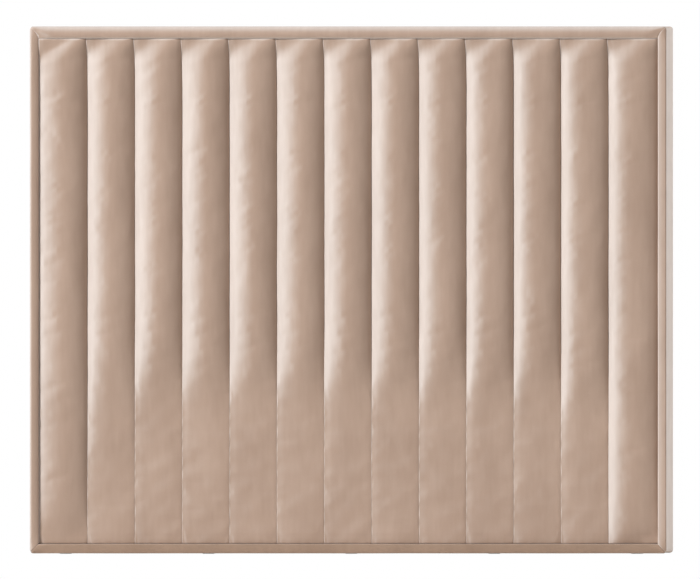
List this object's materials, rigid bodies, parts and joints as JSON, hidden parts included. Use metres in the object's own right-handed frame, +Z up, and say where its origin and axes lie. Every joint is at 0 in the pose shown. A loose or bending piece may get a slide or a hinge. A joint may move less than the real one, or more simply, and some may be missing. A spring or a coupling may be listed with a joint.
{
  "type": "upholstered headboard",
  "caption": "Wide floor-standing upholstered headboard with upright padded channels that run out flat behind the bed, inside a slim padded border.",
  "frame": {"origin": "on the floor, at the middle of the bottom of the bounding box, cleat included", "axes": "+X to the right seen from the front, +Y from the padded front to the back, +Z up"},
  "size_m": [1.694, 0.1056, 1.372],
  "materials": {
    "velvet": "matte",
    "foam": "matte",
    "wadding": "matte",
    "plywood": "matte",
    "softwood": "matte",
    "beech": "matte",
    "zinc_steel": "satin",
    "backing_cloth": "matte",
    "skid_plastic": "matte"
  },
  "bodies": {
    "root": {"channel_cover": "velvet", "border_wrap_top": "velvet", "border_wrap_bottom": "velvet", "border_wrap_left": "velvet", "border_wrap_right": "velvet", "channel_foam_01": "foam", "channel_foam_02": "foam", "channel_foam_03": "foam", "channel_foam_04": "foam", "channel_foam_05": "foam", "channel_foam_06": "foam", "channel_foam_07": "foam", "channel_foam_08": "foam", "channel_foam_09": "foam", "channel_foam_10": "foam", "channel_foam_11": "foam", "channel_foam_12": "foam", "channel_foam_13": "foam", "base_foam": "foam", "border_wadding_top": "wadding", "border_wadding_bottom": "wadding", "border_wadding_left": "wadding", "border_wadding_right": "wadding", "border_plank_top": "plywood", "border_plank_bottom": "plywood", "border_plank_left": "plywood", "border_plank_right": "plywood", "face_board_upper": "plywood", "face_board_lower": "plywood", "wall_cleat": "plywood", "frame_stile_left": "softwood", "frame_stile_right": "softwood", "frame_rail_top": "softwood", "frame_rail_bottom": "softwood", "frame_mullion_1": "softwood", "frame_mullion_2": "softwood", "frame_mullion_3": "softwood", "frame_noggins": "softwood", "corner_blocks": "softwood", "frame_dowels": "beech", "border_screws": "zinc_steel", "cleat_screws": "zinc_steel", "dust_cover": "backing_cloth", "floor_skids": "skid_plastic"}
  },
  "joints": []
}
